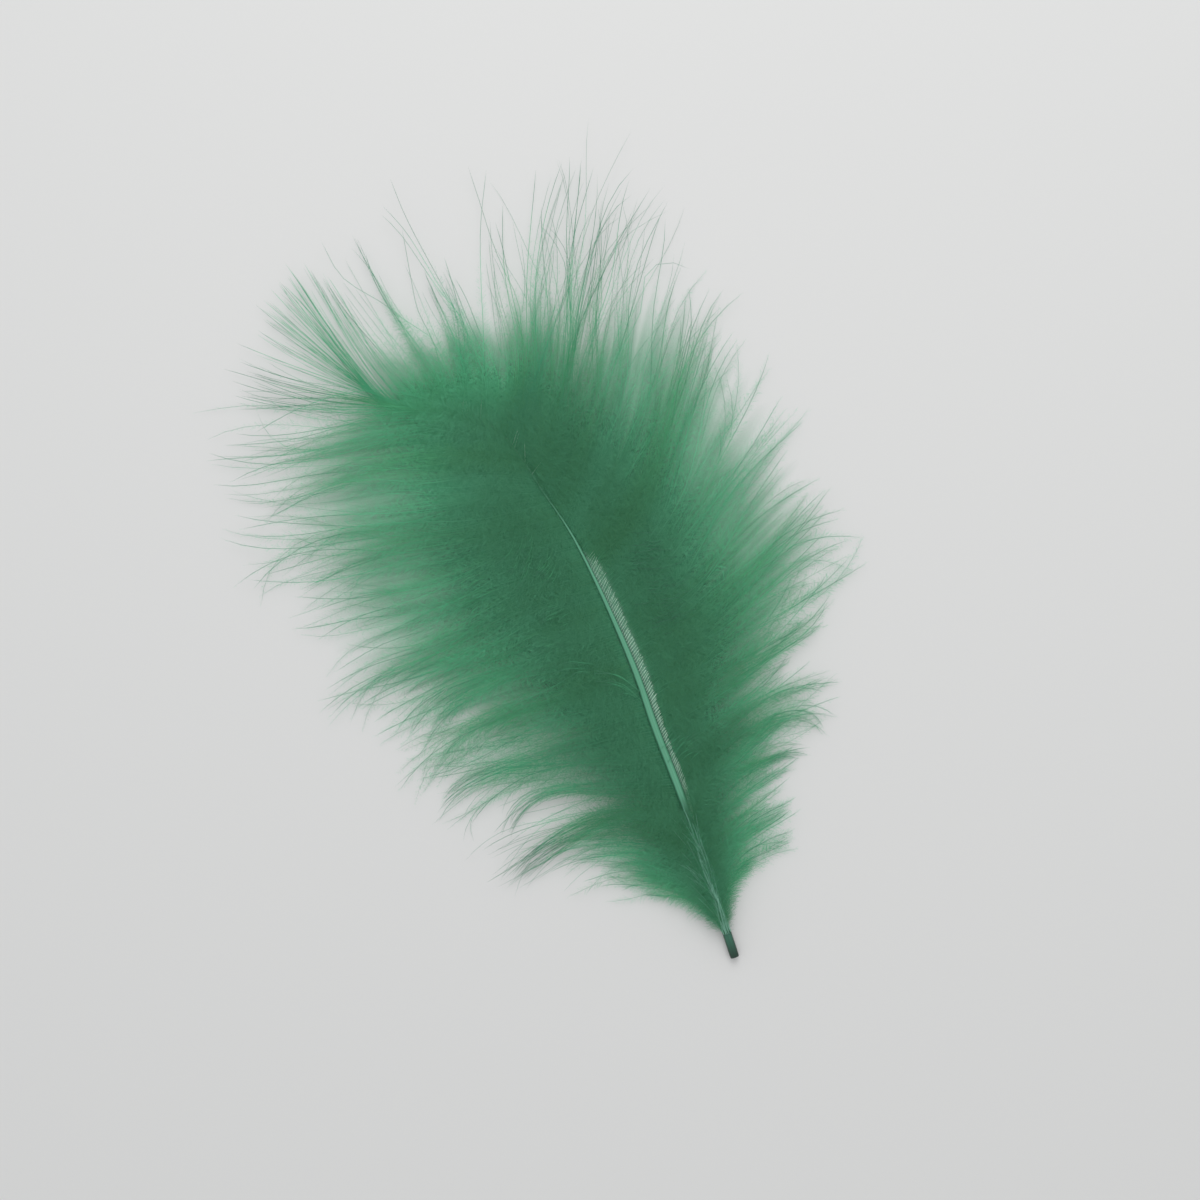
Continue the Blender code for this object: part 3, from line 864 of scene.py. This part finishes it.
def mesh_piece(name, parts, material):
    """One object from several sets of corners, faces and map, in the part's frame."""
    shift = np.cumsum([0] + [len(corners) for corners, _, _ in parts[:-1]])
    corners = np.concatenate([corners for corners, _, _ in parts])
    faces = np.concatenate([faces + start for (_, faces, _), start in zip(parts, shift)])
    corner_map = np.concatenate([each.reshape(-1, 2) for _, _, each in parts])
    corners[:, 2] = np.maximum(corners[:, 2], LOWEST)
    mesh = bpy.data.meshes.new(name)
    mesh.vertices.add(len(corners))
    mesh.vertices.foreach_set("co", in_frame(corners).astype(np.float32).ravel())
    mesh.loops.add(faces.size)
    mesh.loops.foreach_set("vertex_index", faces.astype(np.int32).ravel())
    mesh.polygons.add(len(faces))
    mesh.polygons.foreach_set("loop_start", np.arange(0, faces.size, 3, dtype=np.int32))
    mesh.update(calc_edges=True)
    layer = mesh.uv_layers.new(name=TONE_MAP)
    layer.uv.foreach_set("vector", corner_map.astype(np.float32).ravel())
    mesh.materials.append(material)
    piece = bpy.data.objects.new(name, mesh)
    bpy.context.scene.collection.objects.link(piece)
    finish_piece(piece)


def finish_piece(piece):
    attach(piece, BODY)
    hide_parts(NODE)


def down_piece(name, barbs, down, rng):
    parts = [strand_mesh(barbs, down.barb_thickness / MM), barbule_mesh(barbs, down, rng)]
    mesh_piece(name, parts, material_of("dyed_down", down_look, down))


def material_of(name, look, settings):
    """The material of this name, which gets its look when it is first asked for."""
    material = bpy.data.materials.get(name)
    if material is None:
        material = bpy.data.materials.new(name)
        material.use_nodes = True
        look(material.node_tree, material.node_tree.nodes["Principled BSDF"], settings)
    return material


def ramp(tree, source, stops):
    """The source turned into colours, or into greys, that are given for these places."""
    node = tree.nodes.new("ShaderNodeValToRGB")
    elements = node.color_ramp.elements
    while len(elements) < len(stops):
        elements.new(0.5)
    for element, (place, colour) in zip(elements, stops):
        element.position = place
        red, green, blue = colour if isinstance(colour, (tuple, Vector)) else (colour,) * 3
        element.color = (red, green, blue, 1.0)
    tree.links.new(source, node.inputs["Fac"])
    return node.outputs["Color"]


def map_parts(tree):
    """The two values of the map: how far along, and the tone."""
    source = tree.nodes.new("ShaderNodeUVMap")
    source.uv_map = TONE_MAP
    split = tree.nodes.new("ShaderNodeSeparateXYZ")
    tree.links.new(source.outputs["UV"], split.inputs[0])
    return split.outputs["X"], split.outputs["Y"]


def multiplied(tree, first, second):
    mix = tree.nodes.new("ShaderNodeMix")
    mix.data_type = "RGBA"
    mix.blend_type = "MULTIPLY"
    mix.inputs["Factor"].default_value = 1.0
    tree.links.new(first, mix.inputs["A"])
    tree.links.new(second, mix.inputs["B"])
    return mix.outputs["Result"]


def calculated(tree, operation, *terms):
    """The result of this operation on sockets and plain numbers."""
    node = tree.nodes.new("ShaderNodeMath")
    node.operation = operation
    for term, socket in zip(terms, node.inputs):
        if isinstance(term, bpy.types.NodeSocket):
            tree.links.new(term, socket)
        else:
            socket.default_value = term
    return node.outputs[0]


def streak_noise(tree, along_count, across_count):
    """Noise drawn out along the barbs, with this many streaks along and across the map."""
    source = tree.nodes.new("ShaderNodeUVMap")
    source.uv_map = TONE_MAP
    stretch = tree.nodes.new("ShaderNodeMapping")
    stretch.inputs["Scale"].default_value = (along_count, across_count, 1.0)
    noise = tree.nodes.new("ShaderNodeTexNoise")
    noise.inputs["Scale"].default_value = 1.0
    noise.inputs["Detail"].default_value = 3.0
    tree.links.new(source.outputs["UV"], stretch.inputs["Vector"])
    tree.links.new(stretch.outputs["Vector"], noise.inputs["Vector"])
    return noise.outputs["Fac"]


def down_look(tree, shader, down):
    """Colours by the tone of each barb, with painted shade towards its root, painted sheen on the pale
    sleeve barbs and painted light on open roots.
    """
    along, tone = map_parts(tree)
    deep, bright = Vector(down.deep_colour), Vector(down.bright_colour)
    strand, painted_sheen, painted_light_root = Vector((0.085, 0.25, 0.16)), Vector((0.3, 0.62, 0.48)), (1.15, 1.8, 1.5)
    blue, yellow = deep * Vector((0.85, 0.95, 1.1)), deep.lerp(bright, 0.35) * Vector((1.1, 1.0, 0.85))
    # Past the bright tone come painted sheen for the pale sleeve barbs and, last, painted light for open
    # roots.
    tones = [
        (0.0, strand), (0.15, strand * 1.8), (0.18, blue), (0.45, yellow), (0.6, deep.lerp(bright, 0.55)),
        (0.955, bright), (0.965, painted_sheen), (0.983, painted_sheen * 1.1), (1.0, painted_light_root),
    ]
    # Painted shade: darker towards the root where the down lies deep, easing outwards to the full colour
    # where light comes through the thin down.
    lengthwise = [
        (0.0, ROOT_PAINTED_SHADE), (0.24, ROOT_PAINTED_SHADE), (0.42, (0.79, 0.68, 0.7)), (0.62, (0.96, 0.93, 0.93)),
        (1.0, 1.0),
    ]
    colour = multiplied(tree, ramp(tree, tone, tones), ramp(tree, along, lengthwise))
    tree.links.new(colour, shader.inputs["Base Color"])
    shader.inputs["Roughness"].default_value = 0.75
    shader.inputs["Specular IOR Level"].default_value = 0.2


def undercoat_look(tree, shader, down):
    """Fine streaks along the barbs, that let more and more of what is under them show, with painted shade
    towards the roots after a pale rim of painted light by the shaft.
    """
    along, across = map_parts(tree)
    streaks = streak_noise(tree, 2.0, 170.0)
    deep, bright = Vector(down.deep_colour), Vector(down.bright_colour)
    tones = [(0.3, deep), (0.7, deep.lerp(bright, 0.6))]
    # A pale rim of painted light by the shaft, then painted shade towards the roots that eases outwards as
    # on the barbs.
    lengthwise = [
        (0.04, (2.6, 1.08, 1.5)), (0.066, ROOT_PAINTED_SHADE), (0.24, ROOT_PAINTED_SHADE), (0.42, (0.81, 0.7, 0.72)),
        (0.62, (0.98, 0.94, 0.94)),
    ]
    pale = ramp(tree, across, [(root / UNDERCOAT_MAP, share) for root, share in LESS_ROOT_SHADE])
    shade = ramp(tree, calculated(tree, "ADD", along, pale), lengthwise)
    tree.links.new(multiplied(tree, ramp(tree, streaks, tones), shade), shader.inputs["Base Color"])

    frayed = calculated(tree, "MULTIPLY_ADD", streaks, 0.34, -0.17)
    cover = ramp(tree, calculated(tree, "ADD", along, frayed), UNDERCOAT_COVER)
    rim = ramp(tree, along, [(0.72, 1.0), (0.99, 0.0)])
    ends = ramp(tree, across, [(0.05, 0.0), (0.075, 1.0), (0.76, 1.0), (0.84, 0.7), (0.9, 0.0)])
    soft = calculated(tree, "MULTIPLY", cover, rim)
    tree.links.new(calculated(tree, "MULTIPLY", soft, ends), shader.inputs["Alpha"])
    shader.inputs["Roughness"].default_value = 0.85
    shader.inputs["Specular IOR Level"].default_value = 0.1


def quill_look(tree, shader, quill):
    """Dark green up to where the shaft comes free of the down, mint from there, with painted shade along
    its rounded sides and its groove.
    """
    along, across = map_parts(tree)
    mint, dark = Vector(quill.colour), Vector((0.03, 0.14, 0.085))
    lengthwise = [
        (0.0, dark * 0.25), (0.004, dark * 0.35), (0.012, dark * 0.6), (0.028, dark * 1.1), (0.05, dark),
        (0.18, dark), (0.22, mint), (0.9, mint * 0.9),
    ]
    # Painted shade: darker at the rounded sides of the shaft and along the groove on its top.
    painted_side_shade = [(0.0, 0.35), (0.12, 0.7), (0.3, 1.0), (0.47, 0.8), (0.62, 1.0), (0.85, 0.75), (0.97, 0.3)]
    colour = multiplied(tree, ramp(tree, along, lengthwise), ramp(tree, across, painted_side_shade))
    tree.links.new(colour, shader.inputs["Base Color"])
    shader.inputs["Roughness"].default_value = 0.42


def paper_look(tree, shader, stage):
    """The colour of the sheet, with a fine grain."""
    place = tree.nodes.new("ShaderNodeTexCoord")
    grain = tree.nodes.new("ShaderNodeTexNoise")
    grain.inputs["Scale"].default_value = 900
    grain.inputs["Detail"].default_value = 3
    bump = tree.nodes.new("ShaderNodeBump")
    bump.inputs["Strength"].default_value = 0.06
    bump.inputs["Distance"].default_value = 0.0002
    tree.links.new(place.outputs["Object"], grain.inputs["Vector"])
    tree.links.new(grain.outputs["Fac"], bump.inputs["Height"])
    tree.links.new(bump.outputs["Normal"], shader.inputs["Normal"])
    shader.inputs["Base Color"].default_value = (*stage.paper_colour, 1.0)
    shader.inputs["Roughness"].default_value = 0.9


def deselect_all():
    bpy.ops.object.select_all(action="DESELECT")


class FEATHER_OT_quill(bpy.types.Operator):
    """Adds the quill and the shaft, from the round cut end to the last hair at the tip"""

    bl_idname = "feather.quill"
    bl_label = "Quill and Shaft"

    # The corners of each ring, how many rings follow the first, and the distance along the shaft past
    # which the groove starts.
    RING_CORNERS = 16
    RINGS = 52
    GROOVE_START = 18

    def execute(self, context):
        quill = context.scene.feather_quill
        shaft = Shaft(quill)
        piece = self.extruded(shaft, quill)
        self.round_the_cut(shaft)
        bpy.ops.mesh.select_all(action="SELECT")
        bpy.ops.mesh.normals_make_consistent(inside=False)
        bpy.ops.object.mode_set(mode="OBJECT")
        smooth = piece.modifiers.new("smooth", "SUBSURF")
        smooth.levels = smooth.render_levels = 1
        bpy.ops.object.modifier_apply(modifier=smooth.name)
        bpy.ops.object.shade_smooth()
        bpy.ops.object.transform_apply(location=True, rotation=True, scale=True)
        self.map_lengthwise(piece, shaft)
        piece.data.materials.append(material_of("dyed_quill", quill_look, quill))
        finish_piece(piece)
        return {"FINISHED"}

    def place(self, shaft, distance):
        point = [*shaft.at(distance), float(shaft.height(distance))]
        return Vector(in_frame(np.array(point)))

    def extruded(self, shaft, quill):
        """A disc at the cut end, drawn out along the shaft one ring after another."""
        distances = shaft.length * np.linspace(0, 1, self.RINGS + 1)
        deselect_all()
        turn = float(shaft.heading(0.0)) + SHEET_TURN
        bpy.ops.mesh.primitive_circle_add(
            vertices=self.RING_CORNERS, radius=shaft.quill_radius * MM, fill_type="NGON",
            location=self.place(shaft, 0.0), rotation=(math.pi / 2, 0.0, turn - math.pi / 2),
        )
        piece = bpy.context.object
        piece.name = piece.data.name = "quill_and_shaft"
        bpy.ops.object.transform_apply(location=True, rotation=True, scale=True)
        bpy.ops.object.mode_set(mode="EDIT")
        bpy.ops.mesh.select_all(action="SELECT")
        grooved = False
        for before, after in zip(distances, distances[1:]):
            start, end = self.place(shaft, before), self.place(shaft, after)
            bpy.ops.mesh.extrude_region_move(TRANSFORM_OT_translate={"value": end - start})
            bend = float(shaft.heading(after) - shaft.heading(before))
            bpy.ops.transform.rotate(value=-bend, orient_axis="Z", center_override=end)
            ratio = float(shaft.radius(after) / shaft.radius(before))
            bpy.ops.transform.resize(value=(ratio, ratio, ratio), center_override=end)
            if not grooved and after > self.GROOVE_START:
                self.press_groove(piece, quill.groove * shaft.radius(after) * MM)
                grooved = True
        bpy.ops.mesh.merge(type="CENTER")
        return piece

    def press_groove(self, piece, depth):
        """Lowers the top corner of the ring that is being drawn out."""
        work = bmesh.from_edit_mesh(piece.data)
        cap = [face for face in work.faces if face.select][0]
        top = max(cap.verts, key=lambda corner: corner.co.z)
        bpy.ops.mesh.select_all(action="DESELECT")
        top.select_set(True)
        bpy.ops.transform.translate(value=(0, 0, -float(depth)))
        cap.select_set(True)
        work.select_flush_mode()

    def select_face_at(self, place):
        bpy.ops.mesh.select_all(action="DESELECT")
        work = bmesh.from_edit_mesh(bpy.context.object.data)
        face = min(work.faces, key=lambda each: (each.calc_center_median() - place).length)
        face.select_set(True)
        work.select_flush_mode()

    def round_the_cut(self, shaft):
        """Rounds the rim of the cut end and sinks a small pit into it."""
        start, radius = self.place(shaft, 0.0), shaft.quill_radius * MM
        self.select_face_at(start)
        bpy.ops.mesh.bevel(offset=0.3 * radius, segments=2, affect="EDGES")
        self.select_face_at(start)
        bpy.ops.mesh.inset(thickness=0.25 * radius)
        ahead = self.place(shaft, 0.5) - start
        bpy.ops.mesh.extrude_region_move(TRANSFORM_OT_translate={"value": ahead})
        bpy.ops.transform.resize(value=(0.6, 0.6, 0.6), center_override=start + ahead)

    def map_lengthwise(self, piece, shaft):
        """Gives each corner how far along the shaft and how far across it lies."""
        distances = np.linspace(0, shaft.length, 500)
        middles = in_frame(np.column_stack([shaft.at(distances), shaft.height(distances)]))
        mesh = piece.data
        corners = np.array([vertex.co for vertex in mesh.vertices])
        nearest = np.linalg.norm(corners[:, None, :2] - middles[None, :, :2], axis=2).argmin(axis=1)
        turn = shaft.heading(distances[nearest]) + SHEET_TURN
        offset = corners[:, :2] - middles[nearest, :2]
        right = offset[:, 0] * np.sin(turn) - offset[:, 1] * np.cos(turn)
        u = distances[nearest] / shaft.length
        v = 0.5 + 0.48 * np.clip(right / (shaft.radius(distances[nearest]) * MM), -1, 1)
        while mesh.uv_layers:
            mesh.uv_layers.remove(mesh.uv_layers[0])
        layer = mesh.uv_layers.new(name=TONE_MAP)
        loops = np.zeros(len(mesh.loops), np.int32)
        mesh.loops.foreach_get("vertex_index", loops)
        layer.uv.foreach_set("vector", np.stack([u, v], axis=1)[loops].astype(np.float32).ravel())


class FEATHER_OT_down(bpy.types.Operator):
    """Adds the down of both sides and of the tip"""

    bl_idname = "feather.down"
    bl_label = "Down"

    # Where along the shaft one piece of down ends and the next starts.
    REACHES = (("base", 0, 26), ("lower", 26, 50), ("upper", 50, 78), ("top", 78, 140))

    def execute(self, context):
        shaft = Shaft(context.scene.feather_quill)
        down = context.scene.feather_down
        for side in SIDES:
            rng = np.random.default_rng(side.seed)
            barbs = vane_barbs(shaft, down, side, rng)
            for reach_name, start, end in self.REACHES:
                chosen = barbs.chosen((barbs.roots >= start) & (barbs.roots < end))
                down_piece(f"down_{side.name}_{reach_name}", chosen, down, rng)
            material = material_of("fine_undercoat", undercoat_look, down)
            mesh_piece(f"undercoat_{side.name}", [undercoat_mesh(shaft, down, side)], material)
        rng = np.random.default_rng(5)
        down_piece("crossing_threads", crossing_barbs(shaft, rng), down, rng)
        down_piece("sleeve", sleeve_barbs(shaft, rng), down, rng)
        down_piece("tufts", tuft_barbs(down, rng), down, rng)
        return {"FINISHED"}


class FEATHER_OT_stage(bpy.types.Operator):
    """Adds the pale sheet, the soft light and the camera that looks straight down"""

    bl_idname = "feather.stage"
    bl_label = "Sheet, Light and Camera"

    # The middle of the photograph on the sheet, and how much of the sheet its width takes in.
    VIEW_MIDDLE = (-21.3, 56.4)
    VIEW_WIDTH = 189.6

    def execute(self, context):
        stage = context.scene.feather_stage
        self.add_sheet(stage)
        self.add_lights(context)
        self.add_camera(context, stage)
        context.scene.view_settings.view_transform = "Standard"
        return {"FINISHED"}

    def add_sheet(self, stage):
        deselect_all()
        bpy.ops.mesh.primitive_plane_add(size=3.0, location=(0, 0, 0))
        sheet = bpy.context.object
        sheet.name = "sheet"
        bpy.ops.object.transform_apply(location=True, rotation=True, scale=True)
        sheet.data.materials.append(material_of("pale_paper", paper_look, stage))

    def add_light(self, name, place, size, power):
        """A square soft light over this place of the sheet, turned to the feather."""
        at = Vector(in_frame(np.array(place, float)))
        bpy.ops.object.light_add(type="AREA", location=at)
        light = bpy.context.object
        light.name = name
        light.rotation_euler = (-at).to_track_quat("-Z", "Y").to_euler()
        light.data.size = size
        light.data.energy = power

    def add_lights(self, context):
        deselect_all()
        self.add_light("window", (0, 350, 330), 0.3, 0.63)
        self.add_light("ceiling", (60, 0, 1000), 1.2, 0.3)
        world = context.scene.world or bpy.data.worlds.new("room")
        context.scene.world = world
        world.use_nodes = True
        background = world.node_tree.nodes["Background"]
        background.inputs["Color"].default_value = (0.97, 0.98, 1.0, 1.0)
        background.inputs["Strength"].default_value = 0.69

    def add_camera(self, context, stage):
        middle = in_frame(np.array([*self.VIEW_MIDDLE, 0.0]))
        place = (middle[0], middle[1], stage.camera_height)
        bpy.ops.object.camera_add(location=place, rotation=(0, 0, SHEET_TURN))
        camera = bpy.context.object
        camera.data.lens = camera.data.sensor_width * stage.camera_height / (self.VIEW_WIDTH * MM)
        camera.data.clip_start = 0.01
        context.scene.camera = camera


class FEATHER_PT_panel(bpy.types.Panel):
    """Lists the feather's sizes, its colours and the steps that build it"""

    bl_idname = "FEATHER_PT_panel"
    bl_label = "Marabou Feather"
    bl_space_type = "VIEW_3D"
    bl_region_type = "UI"
    bl_category = "Feather"

    def draw(self, context):
        scene = context.scene
        groups = (
            (scene.feather_quill, FEATHER_OT_quill),
            (scene.feather_down, FEATHER_OT_down),
            (scene.feather_stage, FEATHER_OT_stage),
        )
        for settings, operator in groups:
            box = self.layout.box()
            for name in settings.__annotations__:
                box.prop(settings, name)
            box.operator(operator.bl_idname)


CLASSES = (
    QuillSettings,
    DownSettings,
    StageSettings,
    FEATHER_OT_quill,
    FEATHER_OT_down,
    FEATHER_OT_stage,
    FEATHER_PT_panel,
)


def register():
    for each in CLASSES:
        bpy.utils.register_class(each)
    bpy.types.Scene.feather_quill = bpy.props.PointerProperty(type=QuillSettings)
    bpy.types.Scene.feather_down = bpy.props.PointerProperty(type=DownSettings)
    bpy.types.Scene.feather_stage = bpy.props.PointerProperty(type=StageSettings)


def unregister():
    del bpy.types.Scene.feather_stage
    del bpy.types.Scene.feather_down
    del bpy.types.Scene.feather_quill
    for each in reversed(CLASSES):
        bpy.utils.unregister_class(each)


def main():
    register()
    bpy.ops.feather.quill()
    bpy.ops.feather.down()
    bpy.ops.feather.stage()


if __name__ == "__main__":
    main()
